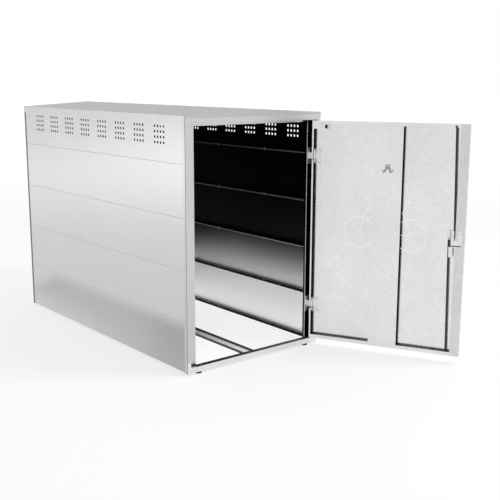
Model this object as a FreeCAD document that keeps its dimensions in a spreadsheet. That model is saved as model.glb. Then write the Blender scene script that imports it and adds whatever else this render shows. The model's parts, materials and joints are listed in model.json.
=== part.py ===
"""A single bicycle locker of folded sheet metal, with its door open.

The frame's outer faces are square to X and Y, +Z is up and Z = 0 is the ground. The origin is the
middle of the footprint. The door is hung on the right of the front, which faces -Y.
"""
import FreeCAD, Part
import Sketcher
import math
import os
import re

# Driving sizes in millimetres and degrees. Each alias is used by the expressions below.
SIZES = {
    # Outer form of the locker.
    "locker_width": 1040,
    "locker_length": 2060,
    "frame_height": 1500,
    "foot_gap": 12,
    "ridge_rise": 27,
    # Folded posts, headers and sills.
    "frame_sheet": 2,
    "jamb_face": 27,
    "rebate_depth": 38,
    "lock_stop": 60,
    "hinge_stop": 46,
    "stop_return": 20,
    "corner_return": 25,
    "post_lip": 20,
    "sill_height": 33,
    "header_height": 48,
    "header_stop_drop": 13,
    # Wall cassettes.
    "wall_sheet": 1.5,
    "panel_base": 5.5,
    "top_panel_height": 270.5,
    "lap_height": 10,
    "seam_gap": 1.5,
    "flange_depth": 45,
    "flange_corner_gap": 2,
    # Vent holes in the top side panels.
    "vent_side": 14,
    "vent_pitch": 31.3,
    "vent_group_pitch": 221,
    "vent_top_drop": 67,
    # Roof.
    "roof_sheet": 1.5,
    "roof_fold": 15,
    "stud_radius": 3,
    "stud_length": 11,
    "roof_nut_across": 10,
    "roof_nut_height": 5,
    # Bolts of the cassettes.
    "bolt_radius": 4,
    "bolt_inset": 22,
    "bolt_hole_clearance": 0.5,
    "bolt_across": 13,
    "bolt_head_height": 5.3,
    "bolt_nut_height": 6.5,
    "bolt_end": 3,
    "thread_clearance": 0.05,
    # Blind rivets in the lips of posts and cassettes.
    "rivet_radius": 2.4,
    "rivet_head_radius": 4.75,
    "rivet_head_height": 1.5,
    "rivet_inset": 12,
    "rivet_end_distance": 55,
    "rivet_tail": 3,
    # Levelling feet and floor anchors.
    "foot_inset": 92,
    "foot_pad_radius": 20,
    "foot_pad_height": 8,
    "foot_spindle_radius": 5,
    "foot_plate_height": 10,
    "foot_plate_thickness": 4,
    "foot_plate_length": 50,
    "foot_nut_across": 17,
    "foot_nut_height": 8,
    "anchor_inset": 180,
    "anchor_length": 60,
    "anchor_foot": 50,
    "anchor_thickness": 3,
    "anchor_hole_radius": 6.5,
    "anchor_hole_distance": 28,
    # Wheel rail and its screws.
    "rail_width": 80,
    "rail_sheet": 2,
    "rail_rise": 2,
    "rail_side_height": 18,
    "rail_tab_height": 28,
    "rail_screw_radius": 3,
    "rail_screw_pitch": 44,
    "rail_screw_height": 17,
    "rail_screw_head_radius": 6,
    "rail_screw_head_height": 3,
    "rail_screw_tail": 6,
    # Rest block under the free edge of the door.
    "rest_block_inset": 29,
    "rest_block_length": 28,
    "rest_block_depth": 12,
    "rest_clearance": 0.5,
    # Door leaf.
    "door_open": 116.5,
    "door_gap_side": 7,
    "door_gap_top": 4,
    "door_gap_bottom": 6,
    "door_sheet": 1.5,
    "door_depth": 33,
    "hinge_lip": 10,
    "lock_lip": 56,
    "end_lip": 22,
    "stiffener_start": 400,
    "stiffener_width": 180,
    "stiffener_sheet": 1.5,
    "corner_plate_length": 98,
    "corner_plate_height": 49,
    "corner_plate_sheet": 1.5,
    "corner_slot_length": 14,
    "corner_slot_height": 24,
    "corner_slot_edge": 1.5,
    "corner_rivet_inset": 62,
    "corner_rivet_drop": 17,
    "corner_rivet_pitch": 22,
    # Perforated bicycle sign in the door.
    "sign_hole_radius": 3.5,
    "sign_height": 772,
    "sign_rear_wheel": 637,
    "sign_wheelbase": 325,
    "sign_wheel_radius": 98,
    # Hinges.
    "hinge_inset": 7,
    "hinge_end_distance": 226,
    "hinge_leaf_height": 104,
    "hinge_arm_height": 38,
    "hinge_arm_thickness": 5.5,
    "hinge_plate": 3,
    "hinge_frame_leaf_width": 35,
    "hinge_door_leaf_width": 44,
    "hinge_pin_radius": 3,
    "hinge_pin_clearance": 0.05,
    "hinge_knuckle_gap": 0.3,
    "hinge_upper_knuckle": 20,
    "hinge_lower_knuckle": 24,
    "hinge_axial_gap": 0.5,
    "hinge_notch_gap": 1.5,
    "hinge_pin_head": 2.5,
    "hinge_screw_radius": 2.5,
    "hinge_screw_head_radius": 4.5,
    "hinge_screw_head_height": 2,
    "hinge_screw_edge": 7,
    "hinge_screw_end": 12,
    # Lock, handle and rods.
    "lock_height": 778,
    "lock_backset": 80,
    "cam_throw": 17,
    "cam_arm_radius": 7,
    "cam_hub_radius": 11,
    "cam_thickness": 4,
    "cam_depth": 10,
    "cam_pin_radius": 4,
    "cam_pin_clearance": 0.05,
    "cam_pin_cap_radius": 6,
    "cam_pin_cap_height": 1.5,
    "rod_width": 12,
    "rod_thickness": 4,
    "rod_layer_gap": 0.3,
    "rod_guide_backset": 82,
    "rod_recess": 2,
    "rod_notch_side": 2,
    "rod_notch_height": 12,
    "rod_side_clearance": 6,
    "rod_face_clearance": 1,
    "link_width": 25,
    "link_length": 64,
    "link_drop": 50,
    "link_thickness": 3,
    "guard_width": 65,
    "guard_height": 100,
    "guard_edge": 14,
    "guard_plate": 2.5,
    "guard_bottom_flange": 8,
    "guard_window_width": 22,
    "guard_window_height": 58,
    "guard_window_inset": 27,
    "guard_screw_radius": 2.5,
    "guard_screw_head_radius": 4.5,
    "guard_screw_head_height": 1.2,
    "stop_block_width": 19,
    "stop_block_height": 40,
    "stop_block_depth": 20,
    "stop_block_gap": 1.3,
    "spindle_radius": 5,
    "spindle_clearance": 0.1,
    "escutcheon_radius": 32,
    "escutcheon_thickness": 4,
    "handle_hub_radius": 15,
    "handle_hub_length": 42,
    "handle_grip_length": 104,
    "handle_grip_radius": 8,
    "handle_grip_setback": 3,
    "handle_running_gap": 0.3,
    "plug_radius": 8,
    "plug_depth": 16,
    "plug_clearance": 0.1,
    "plug_proud": 1.5,
    "key_slot_length": 9,
    "key_slot_width": 1.6,
    "key_slot_depth": 8,
    # Coat hook on the stiffener.
    "hook_height": 1192,
    "hook_plate_width": 31,
    "hook_plate_height": 29,
    "hook_plate_thickness": 3,
    "hook_prong_radius": 3,
    "hook_prong_spread": 24,
    "hook_prong_drop": 32,
    "hook_prong_reach": 26,
    "hook_tip_rise": 12,
    "hook_screw_pitch": 15,
}

# Counts of what repeats.
PANEL_ROWS = 5
VENT_ROWS = 4
VENT_COLUMNS = 4
VENT_GROUPS = 8
ROOF_STUDS_A_SIDE = 5
SIGN_WHEEL_HOLES = 44

# Shares that shape the coat hook's prongs: where the bend lies, how far apart the roots are in
# prong radii, and how thick the knob at the tip is.
HOOK_BEND_SPREAD = 0.8
HOOK_BEND_REACH = 0.55
HOOK_ROOT_SPREAD = 2
HOOK_KNOB = 1.25

# Points of the sign: shares of the wheelbase forward and of the wheel's radius up, from the rear hub.
SIGN_POINTS = {
    "rear_hub": (0, 0),
    "front_hub": (1, 0),
    "crank": (0.42, 0),
    "seat_cluster": (0.166, 1.41),
    "saddle": (0.055, 2.08),
    "saddle_nose": (0.105, 2.15),
    "saddle_tail": (0, 2.15),
    "steering_head": (0.85, 1.62),
    "stem_top": (0.79, 2.08),
    "handlebar_front": (0.90, 2.16),
    "handlebar_rear": (0.81, 2.16),
}
# Lines of the sign: from, to, steps, and how many holes are left out at the start and the end.
SIGN_LINES = (
    ("rear_hub", "crank", 10, 0, 0),
    ("rear_hub", "seat_cluster", 11, 1, 1),
    ("crank", "seat_cluster", 12, 1, 0),
    ("seat_cluster", "saddle", 5, 1, 0),
    ("steering_head", "crank", 15, 0, 1),
    ("steering_head", "seat_cluster", 17, 1, 1),
    ("front_hub", "steering_head", 12, 0, 1),
    ("steering_head", "stem_top", 4, 1, 0),
    ("saddle_nose", "saddle_tail", 3, 0, 0),
    ("handlebar_front", "handlebar_rear", 2, 0, 0),
)

doc = FreeCAD.newDocument("BicycleLocker")
sheet = doc.addObject("Spreadsheet::Sheet", "Sizes")
for row, (alias, size) in enumerate(SIZES.items(), start=1):
    sheet.set(f"A{row}", alias)
    sheet.set(f"B{row}", str(size))
    sheet.setAlias(f"B{row}", alias)
doc.recompute()

SUB_PARTS = []


def expression(text):
    """Text with each alias written as a cell of the sheet."""
    def cell(match):
        word = match.group(0)
        return f"Sizes.{word}" if word in SIZES else word
    return re.sub(r"[a-z]+(?:_[a-z]+)*", cell, text)


def bind(thing, prop, text):
    thing.setExpression(prop, expression(text))


# Planes of the frame, as expressions.
LEFT = "(-locker_width / 2)"
RIGHT = "(locker_width / 2)"
FRONT = "(-locker_length / 2)"
BACK = "(locker_length / 2)"
BASE = "foot_gap"
EAVES = "(foot_gap + frame_height)"
FRAME_TOP = "(foot_gap + frame_height - roof_sheet)"
OPENING_LEFT = "(-locker_width / 2 + jamb_face)"
OPENING_RIGHT = "(locker_width / 2 - jamb_face)"
OPENING_BOTTOM = "(foot_gap + sill_height)"
OPENING_TOP = "(foot_gap + frame_height - header_height)"
STOP_FACE = "(-locker_length / 2 + rebate_depth)"
FLANGE_END = "(flange_depth + flange_corner_gap)"

# The door, measured from the hinge axis while it is closed: X towards the hinge jamb, Y into the locker.
PIVOT_X = "(locker_width / 2 - jamb_face - door_gap_side - hinge_inset)"
PIVOT_Y = "(-locker_length / 2 + hinge_inset)"
DOOR_WIDTH = "(locker_width - 2 * jamb_face - 2 * door_gap_side)"
DOOR_BOTTOM = "(foot_gap + sill_height + door_gap_bottom)"
DOOR_TOP = "(foot_gap + frame_height - header_height - door_gap_top)"
SKIN_OUTSIDE = "(-hinge_inset)"
SKIN_INSIDE = "(-hinge_inset + door_sheet)"
LIP_PLANE = "(-hinge_inset + door_depth)"
LOCK_X = "(hinge_inset - locker_width + 2 * jamb_face + 2 * door_gap_side + lock_backset)"
GUIDE_X = "(hinge_inset - locker_width + 2 * jamb_face + 2 * door_gap_side + rod_guide_backset)"
CAM_BACK = "(-hinge_inset + cam_depth)"
CAM_FACE = "(-hinge_inset + cam_depth + cam_thickness)"
ROD_BACK = "(-hinge_inset + cam_depth + cam_thickness + rod_layer_gap)"
ROD_FACE = "(-hinge_inset + cam_depth + cam_thickness + rod_layer_gap + rod_thickness)"


def across_door(inset):
    """X in the door, from a distance to its hinge-side edge."""
    return f"(hinge_inset - ({inset}))"


def slab(x, y, z):
    """A block between two planes in each direction."""
    block = doc.addObject("Part::Box", "Block")
    for axis, side, (low, high) in zip("xyz", ("Length", "Width", "Height"), (x, y, z)):
        bind(block, f"Placement.Base.{axis}", low)
        bind(block, side, f"({high}) - ({low})")
    return block


AXIS_TURNS = {
    "x": FreeCAD.Rotation(FreeCAD.Vector(0, 1, 0), 90),
    "y": FreeCAD.Rotation(FreeCAD.Vector(1, 0, 0), -90),
    "z": FreeCAD.Rotation(),
}


def lay(solid, axis, first, second, start):
    """Stand a turned solid on an axis: its two crossing coordinates and where it starts."""
    solid.Placement = FreeCAD.Placement(FreeCAD.Vector(), AXIS_TURNS[axis])
    crossing = [other for other in "xyz" if other != axis]
    bind(solid, f"Placement.Base.{crossing[0]}", first)
    bind(solid, f"Placement.Base.{crossing[1]}", second)
    bind(solid, f"Placement.Base.{axis}", start)
    return solid


def bar(axis, radius, first, second, span):
    """A round bar along an axis."""
    solid = doc.addObject("Part::Cylinder", "Bar")
    bind(solid, "Radius", radius)
    bind(solid, "Height", f"({span[1]}) - ({span[0]})")
    return lay(solid, axis, first, second, span[0])


def hexagon(axis, across, first, second, span):
    """A hexagonal bar along an axis, from its width across the flats."""
    solid = doc.addObject("Part::Prism", "Hexagon")
    solid.Polygon = 6
    bind(solid, "Circumradius", f"{across} / 2 / cos(30)")
    bind(solid, "Height", f"({span[1]}) - ({span[0]})")
    return lay(solid, axis, first, second, span[0])


def joined(pieces):
    fusion = doc.addObject("Part::MultiFuse", "Joined")
    fusion.Shapes = pieces
    return fusion


def group(pieces):
    compound = doc.addObject("Part::Compound", "Group")
    compound.Links = pieces
    return compound


def without(base, tools):
    cut = doc.addObject("Part::Cut", "Cut")
    cut.Base = base
    cut.Tool = tools[0] if len(tools) == 1 else group(tools)
    return cut


def name_part(label, solid):
    solid.Label = label
    SUB_PARTS.append(solid)
    return solid


def door_part(label, solid):
    """Name a piece drawn from the hinge axis and turn it with the open door."""
    bind(solid, "Placement.Base.x", PIVOT_X)
    bind(solid, "Placement.Base.y", PIVOT_Y)
    bind(solid, "Placement.Rotation.Angle", "door_open")
    return name_part(label, solid)


def folded_section(body, plane_role, points, length, offset):
    """A closed outline on one of the body's planes, padded along that plane's normal."""
    sketch = body.newObject("Sketcher::SketchObject", "Section")
    plane = next(item for item in body.Origin.OriginFeatures if item.Role == plane_role)
    sketch.AttachmentSupport = [(plane, "")]
    sketch.MapMode = "FlatFace"
    corners = len(points)
    spread = [
        FreeCAD.Vector(math.cos(2 * math.pi * i / corners), math.sin(2 * math.pi * i / corners), 0)
        for i in range(corners)
    ]
    for i in range(corners):
        sketch.addGeometry(Part.LineSegment(spread[i], spread[(i + 1) % corners]))
    for i in range(corners):
        sketch.addConstraint(Sketcher.Constraint("Coincident", i, 2, (i + 1) % corners, 1))
    for i, (across, up) in enumerate(points):
        side = sketch.addConstraint(Sketcher.Constraint("DistanceX", -1, 1, i, 1, spread[i].x + 2))
        bind(sketch, f"Constraints[{side}]", across)
        rise = sketch.addConstraint(Sketcher.Constraint("DistanceY", -1, 1, i, 1, spread[i].y + 2))
        bind(sketch, f"Constraints[{rise}]", up)
    bind(sketch, "AttachmentOffset.Base.z", offset)
    pad = body.newObject("PartDesign::Pad", "Pad")
    pad.Profile = sketch
    bind(pad, "Length", length)
    doc.recompute()
    return pad


def post(label, corner_x, inward, stop_width, holes):
    """A front post: face, rebate, door stop and the lips for the wall, folded from one strip."""
    def across(size):
        return f"{corner_x} {'+' if inward > 0 else '-'} ({size})"

    def back(size):
        return f"{FRONT} + ({size})"
    outline = [
        ("post_lip", "corner_return"),
        ("0", "corner_return"),
        ("0", "0"),
        ("jamb_face", "0"),
        ("jamb_face", "rebate_depth"),
        (f"jamb_face + {stop_width}", "rebate_depth"),
        (f"jamb_face + {stop_width}", "rebate_depth + stop_return"),
        (f"jamb_face + {stop_width} - frame_sheet", "rebate_depth + stop_return"),
        (f"jamb_face + {stop_width} - frame_sheet", "rebate_depth + frame_sheet"),
        ("jamb_face - frame_sheet", "rebate_depth + frame_sheet"),
        ("jamb_face - frame_sheet", "frame_sheet"),
        ("frame_sheet", "frame_sheet"),
        ("frame_sheet", "corner_return - frame_sheet"),
        ("post_lip", "corner_return - frame_sheet"),
    ]
    body = doc.addObject("PartDesign::Body", "Post")
    points = [(across(x), back(y)) for x, y in outline]
    folded_section(body, "XY_Plane", points, f"{FRAME_TOP} - {BASE}", BASE)
    name_part(label, without(body, holes))


def rear_post(label, corner_x, inward, holes):
    """A rear corner post with a lip for the side wall and one for the rear wall."""
    outline = [
        ("post_lip", "corner_return"),
        ("0", "corner_return"),
        ("0", "0"),
        ("corner_return", "0"),
        ("corner_return", "post_lip"),
        ("corner_return - frame_sheet", "post_lip"),
        ("corner_return - frame_sheet", "frame_sheet"),
        ("frame_sheet", "frame_sheet"),
        ("frame_sheet", "corner_return - frame_sheet"),
        ("post_lip", "corner_return - frame_sheet"),
    ]
    sign = "+" if inward > 0 else "-"
    points = [(f"{corner_x} {sign} ({x})", f"{BACK} - ({y})") for x, y in outline]
    body = doc.addObject("PartDesign::Body", "Post")
    folded_section(body, "XY_Plane", points, f"{FRAME_TOP} - {BASE}", BASE)
    name_part(label, without(body, holes))


def gable_outline(half_width, bottom, lift):
    """A gable plate: level margins over the wall flanges, then two slopes to the ridge."""
    margin = "(locker_width / 2 - flange_depth)"
    return [
        (f"-({half_width})", bottom),
        (half_width, bottom),
        (half_width, f"{FRAME_TOP} + {lift}"),
        (margin, f"{FRAME_TOP} + {lift}"),
        ("0", f"{FRAME_TOP} + {lift} + ridge_rise"),
        (f"-{margin}", f"{FRAME_TOP} + {lift}"),
        (f"-({half_width})", f"{FRAME_TOP} + {lift}"),
    ]


def front_header(strike_slot):
    """The header over the door: gable fascia, rebate soffit, door stop and return."""
    fascia = doc.addObject("PartDesign::Body", "Fascia")
    outline = gable_outline("locker_width / 2 - jamb_face", OPENING_TOP, "0")
    folded_section(fascia, "XZ_Plane", outline, "frame_sheet", "locker_length / 2 - frame_sheet")
    stop_left = f"{OPENING_LEFT} + lock_stop"
    stop_right = f"{OPENING_RIGHT} - hinge_stop"
    stop_bottom = f"{OPENING_TOP} - header_stop_drop"
    stop_top = f"{OPENING_TOP} + frame_sheet"
    soffit = slab((OPENING_LEFT, OPENING_RIGHT), (FRONT, STOP_FACE), (OPENING_TOP, stop_top))
    stop = slab((stop_left, stop_right), (STOP_FACE, f"{STOP_FACE} + frame_sheet"), (stop_bottom, stop_top))
    hem = slab((stop_left, stop_right), (STOP_FACE, f"{STOP_FACE} + stop_return"),
               (stop_bottom, f"{stop_bottom} + frame_sheet"))
    return name_part("front_header", without(joined([fascia, soffit, stop, hem]), [strike_slot]))


def rear_header():
    """The header over the rear wall: gable plate and a ledge that the top panel is riveted under."""
    gable = doc.addObject("PartDesign::Body", "Gable")
    outline = gable_outline("locker_width / 2 - corner_return", OPENING_TOP, "0")
    folded_section(gable, "XZ_Plane", outline, "frame_sheet", "-locker_length / 2")
    ledge = slab((f"{LEFT} + corner_return", f"{RIGHT} - corner_return"),
                 (f"{BACK} - rebate_depth", BACK), (OPENING_TOP, f"{OPENING_TOP} + frame_sheet"))
    return name_part("rear_header", joined([gable, ledge]))


RAIL_SCREW_PLACES = ("-rail_screw_pitch / 2", "rail_screw_pitch / 2")


def sill(label, side, ends, extra_cuts):
    """A bottom rail: an upturned channel with a threaded plate inside for each levelling foot."""
    def depth(near, far):
        if side == "front":
            return (f"{FRONT} + {near}", f"{FRONT} + {far}")
        return (f"{BACK} - {far}", f"{BACK} - {near}")
    top = OPENING_BOTTOM
    pieces = [
        slab(ends, depth("0", "frame_sheet"), (BASE, top)),
        slab(ends, depth("0", "rebate_depth"), (f"{top} - frame_sheet", top)),
        slab(ends, depth("(rebate_depth - frame_sheet)", "rebate_depth"), (BASE, top)),
    ]
    holes = list(extra_cuts)
    for sign in ("-", "+"):
        centre = f"{sign} (locker_width / 2 - foot_inset)"
        plate_bottom = "foot_gap + foot_plate_height"
        pieces.append(slab((f"{centre} - foot_plate_length / 2", f"{centre} + foot_plate_length / 2"),
                           depth("0", "rebate_depth"),
                           (plate_bottom, f"{plate_bottom} + foot_plate_thickness")))
        middle = depth("rebate_depth / 2", "rebate_depth / 2")[0]
        holes.append(bar("z", "foot_spindle_radius + thread_clearance", centre, middle,
                         (plate_bottom, f"{plate_bottom} + foot_plate_thickness")))
    screw_y = depth("(rebate_depth - frame_sheet)", "rebate_depth")
    for screw_x in RAIL_SCREW_PLACES:
        holes.append(bar("y", "rail_screw_radius + thread_clearance", screw_x,
                         "foot_gap + rail_screw_height", screw_y))
    return name_part(label, without(joined(pieces), holes))


# Walls. Each cassette laps over the one below and is bolted to it through two flanges.
SIDE_ENDS = (f"{FRONT} + corner_return", f"{BACK} - corner_return")
SIDE_FLANGES = (f"{FRONT} + {FLANGE_END}", f"{BACK} - {FLANGE_END}")
REAR_ENDS = (f"{LEFT} + corner_return", f"{RIGHT} - corner_return")
REAR_FLANGES = (f"{LEFT} + {FLANGE_END}", f"{RIGHT} - {FLANGE_END}")
PANEL_PITCH = f"((frame_height - panel_base - top_panel_height) / {PANEL_ROWS - 1})"


def seam_height(row):
    """Height of the seam under a row, counted from 0; the last one is under the roof."""
    return f"(foot_gap + panel_base + {row} * {PANEL_PITCH})"


def wall_range(wall, near, far):
    """Two planes at distances from a wall's outer face, low one first."""
    if wall == "left":
        return (f"{LEFT} + {near}", f"{LEFT} + {far}")
    if wall == "right":
        return (f"{RIGHT} - {far}", f"{RIGHT} - {near}")
    return (f"{BACK} - {far}", f"{BACK} - {near}")


def wall_slab(wall, along, near, far, z):
    inward = wall_range(wall, near, far)
    if wall == "rear":
        return slab(along, inward, z)
    return slab(inward, along, z)


def wall_bar(wall, radius, along, inset, span):
    """An upright bar at a distance from a wall's outer face."""
    inward = wall_range(wall, inset, inset)[0]
    if wall == "rear":
        return bar("z", radius, along, inward, span)
    return bar("z", radius, inward, along, span)


def wall_hexagon(wall, across, along, inset, span):
    inward = wall_range(wall, inset, inset)[0]
    if wall == "rear":
        return hexagon("z", across, along, inward, span)
    return hexagon("z", across, inward, along, span)


def bolt_places(wall):
    if wall == "rear":
        return ("-locker_width / 4", "locker_width / 4")
    return ("-locker_length / 4", "0", "locker_length / 4")


def cassette_edges(wall, row):
    """Bottom and top of a cassette's face, and of its two flanges."""
    bottom = seam_height(row)
    next_bottom = seam_height(row + 1)
    top = f"({next_bottom} - seam_gap)"
    bottom_flange = f"{bottom} + lap_height"
    top_flange = f"{next_bottom} + lap_height - wall_sheet"
    if wall == "rear" and row == 0:
        bottom = OPENING_BOTTOM
        bottom_flange = bottom
    if row == PANEL_ROWS - 1:
        top = OPENING_TOP if wall == "rear" else FRAME_TOP
        top_flange = f"{top} - wall_sheet"
    return bottom, top, bottom_flange, top_flange


def cassette(wall, row, extra_cuts):
    """One wall panel: face, end lips, hemmed drip edge and two flanges."""
    ends = REAR_ENDS if wall == "rear" else SIDE_ENDS
    flanges = REAR_FLANGES if wall == "rear" else SIDE_FLANGES
    bottom, top, bottom_flange, top_flange = cassette_edges(wall, row)
    first_lip = (ends[0], f"{ends[0]} + wall_sheet")
    last_lip = (f"{ends[1]} - wall_sheet", ends[1])
    pieces = [
        wall_slab(wall, ends, "0", "wall_sheet", (bottom, top)),
        wall_slab(wall, first_lip, "0", "post_lip", (bottom, top)),
        wall_slab(wall, last_lip, "0", "post_lip", (bottom, top)),
        wall_slab(wall, flanges, "0", "flange_depth", (bottom_flange, f"{bottom_flange} + wall_sheet")),
        wall_slab(wall, flanges, "(2 * wall_sheet)" if row < PANEL_ROWS - 1 else "0", "flange_depth",
                  (top_flange, f"{top_flange} + wall_sheet")),
    ]
    if bottom_flange != bottom:
        pieces.append(wall_slab(wall, ends, "0", "(2 * wall_sheet)",
                                (bottom, f"{bottom_flange} + wall_sheet")))
    if row < PANEL_ROWS - 1:
        pieces.append(wall_slab(wall, flanges, "0", "(3 * wall_sheet)", (f"{top} - wall_sheet", top)))
        pieces.append(wall_slab(wall, flanges, "(2 * wall_sheet)", "(3 * wall_sheet)",
                                (f"{top} - wall_sheet", f"{top_flange} + wall_sheet")))
    holes = list(extra_cuts)
    for place in bolt_places(wall):
        if row > 0:
            holes.append(wall_bar(wall, "bolt_radius + bolt_hole_clearance", place, "bolt_inset",
                                  (bottom_flange, f"{bottom_flange} + wall_sheet")))
        if row < PANEL_ROWS - 1:
            holes.append(wall_bar(wall, "bolt_radius + bolt_hole_clearance", place, "bolt_inset",
                                  (top_flange, f"{top_flange} + wall_sheet")))
    for lip in (first_lip, last_lip):
        for height in rivet_heights(bottom, top):
            holes.append(lip_bar(wall, "rivet_radius + thread_clearance", lip, height))
    name_part(f"{wall}_panel_{row + 1}", without(joined(pieces), holes))


def rivet_heights(bottom, top):
    return (f"{bottom} + rivet_end_distance", f"{top} - rivet_end_distance")


def lip_bar(wall, radius, span, height):
    """A bar along the wall, through a lip."""
    inward = wall_range(wall, "rivet_inset", "rivet_inset")[0]
    if wall == "rear":
        return bar("x", radius, inward, height, span)
    return bar("y", radius, inward, height, span)


def post_lip_holes(wall, end):
    """Rivet holes in the post lip at one end of a wall: 0 is its low end, 1 its high end."""
    ends = REAR_ENDS if wall == "rear" else SIDE_ENDS
    if end == 0:
        span = (f"{ends[0]} - frame_sheet", ends[0])
    else:
        span = (ends[1], f"{ends[1]} + frame_sheet")
    holes = []
    for row in range(PANEL_ROWS):
        bottom, top, _, _ = cassette_edges(wall, row)
        for height in rivet_heights(bottom, top):
            holes.append(lip_bar(wall, "rivet_radius + thread_clearance", span, height))
    return holes


def hinge_screw_holes():
    """Holes for the frame hinge screws, in the stop of the right front post."""
    holes = []
    screw_x = f"{PIVOT_X} + {FRAME_SCREW_X}"
    for centre in hinge_centres():
        for height in hinge_screw_heights(centre):
            holes.append(bar("y", "hinge_screw_radius + thread_clearance", screw_x, height,
                             (STOP_FACE, f"{STOP_FACE} + frame_sheet")))
    return holes


def lip_rivets(wall, row):
    """The four blind rivets that hold a cassette's lips to the posts."""
    ends = REAR_ENDS if wall == "rear" else SIDE_ENDS
    bottom, top, _, _ = cassette_edges(wall, row)
    rivets = []
    for height in rivet_heights(bottom, top):
        inner = f"{ends[0]} + wall_sheet"
        shank = lip_bar(wall, "rivet_radius", (f"{ends[0]} - frame_sheet - rivet_tail", inner), height)
        head = lip_bar(wall, "rivet_head_radius", (inner, f"{inner} + rivet_head_height"), height)
        rivets.append(joined([shank, head]))
        inner = f"{ends[1]} - wall_sheet"
        shank = lip_bar(wall, "rivet_radius", (inner, f"{ends[1]} + frame_sheet + rivet_tail"), height)
        head = lip_bar(wall, "rivet_head_radius", (f"{inner} - rivet_head_height", inner), height)
        rivets.append(joined([shank, head]))
    return rivets


def vent_tools():
    """Square bars across the whole locker, one for each pair of facing vent holes."""
    tools = []
    for index in range(VENT_GROUPS):
        middle = f"({index - (VENT_GROUPS - 1) / 2} * vent_group_pitch)"
        for column in range(VENT_COLUMNS):
            y = f"({middle} + {column - (VENT_COLUMNS - 1) / 2} * vent_pitch)"
            for level in range(VENT_ROWS):
                z = f"({EAVES} - vent_top_drop - {level} * vent_pitch)"
                tools.append(slab((LEFT, RIGHT), (f"{y} - vent_side / 2", f"{y} + vent_side / 2"),
                                  (f"{z} - vent_side / 2", f"{z} + vent_side / 2")))
    return group(tools)


def wall_fasteners():
    """Bolts with their heads on the upper flange, and nuts under the lower one."""
    bolts = []
    nuts = []
    for wall in ("left", "right", "rear"):
        for row in range(1, PANEL_ROWS):
            joint = f"{seam_height(row)} + lap_height"
            for place in bolt_places(wall):
                top = f"{joint} + wall_sheet"
                under = f"{joint} - wall_sheet"
                nut_bottom = f"{under} - bolt_nut_height"
                shank = wall_bar(wall, "bolt_radius", place, "bolt_inset", (f"{nut_bottom} - bolt_end", top))
                head = wall_hexagon(wall, "bolt_across", place, "bolt_inset",
                                    (top, f"{top} + bolt_head_height"))
                bolts.append(joined([shank, head]))
                blank = wall_hexagon(wall, "bolt_across", place, "bolt_inset", (nut_bottom, under))
                bore = wall_bar(wall, "bolt_radius + thread_clearance", place, "bolt_inset",
                                (nut_bottom, under))
                nuts.append(without(blank, [bore]))
    name_part("wall_bolts", group(bolts))
    name_part("wall_nuts", group(nuts))


def stud_places():
    """Distances of the roof studs along the side walls."""
    step = f"(locker_length / {ROOF_STUDS_A_SIDE})"
    return [f"({index - (ROOF_STUDS_A_SIDE - 1) / 2} * {step})" for index in range(ROOF_STUDS_A_SIDE)]


def stud_holes(wall):
    radius = "stud_radius + bolt_hole_clearance"
    span = (f"{FRAME_TOP} - wall_sheet", FRAME_TOP)
    return [wall_bar(wall, radius, place, "bolt_inset", span) for place in stud_places()]


def roof():
    """The roof: one sheet with level margins, two slopes and a fold over each gable."""
    body = doc.addObject("PartDesign::Body", "Roof")
    margin = "(locker_width / 2 - flange_depth)"
    outline = [
        (LEFT, FRAME_TOP),
        (f"-{margin}", FRAME_TOP),
        ("0", f"{FRAME_TOP} + ridge_rise"),
        (margin, FRAME_TOP),
        (RIGHT, FRAME_TOP),
        (RIGHT, EAVES),
        (margin, EAVES),
        ("0", f"{EAVES} + ridge_rise"),
        (f"-{margin}", EAVES),
        (LEFT, EAVES),
    ]
    folded_section(body, "XZ_Plane", outline, "locker_length + 2 * roof_sheet",
                   "-locker_length / 2 - roof_sheet")
    fold = gable_outline("locker_width / 2", f"{EAVES} - roof_fold", "roof_sheet")
    folded_section(body, "XZ_Plane", fold, "roof_sheet", "locker_length / 2")
    folded_section(body, "XZ_Plane", fold, "roof_sheet", "-locker_length / 2 - roof_sheet")
    name_part("roof_sheet", body)


def roof_fasteners():
    """Studs welded under the roof's margins, and their nuts below the wall flanges."""
    studs = []
    nuts = []
    for wall in ("left", "right"):
        for place in stud_places():
            under = f"{FRAME_TOP} - wall_sheet"
            studs.append(wall_bar(wall, "stud_radius", place, "bolt_inset",
                                  (f"{FRAME_TOP} - stud_length", FRAME_TOP)))
            blank = wall_hexagon(wall, "roof_nut_across", place, "bolt_inset",
                                 (f"{under} - roof_nut_height", under))
            bore = wall_bar(wall, "stud_radius + thread_clearance", place, "bolt_inset",
                            (f"{under} - roof_nut_height", under))
            nuts.append(without(blank, [bore]))
    name_part("roof_studs", group(studs))
    name_part("roof_nuts", group(nuts))


def levelling_feet():
    """Four feet under the sills: pad, spindle and the nut that locks it."""
    pads = []
    spindles = []
    nuts = []
    for y in (f"{FRONT} + rebate_depth / 2", f"{BACK} - rebate_depth / 2"):
        for x in ("-locker_width / 2 + foot_inset", "locker_width / 2 - foot_inset"):
            plate_top = "(foot_gap + foot_plate_height + foot_plate_thickness)"
            nut_top = f"({plate_top} + foot_nut_height)"
            pads.append(bar("z", "foot_pad_radius", x, y, ("0", "foot_pad_height")))
            spindles.append(bar("z", "foot_spindle_radius", x, y,
                                ("foot_pad_height", f"{nut_top} + bolt_end")))
            blank = hexagon("z", "foot_nut_across", x, y, (plate_top, nut_top))
            bore = bar("z", "foot_spindle_radius + thread_clearance", x, y, (plate_top, nut_top))
            nuts.append(without(blank, [bore]))
    name_part("foot_pads", group(pads))
    name_part("foot_spindles", group(spindles))
    name_part("foot_locknuts", group(nuts))


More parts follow.
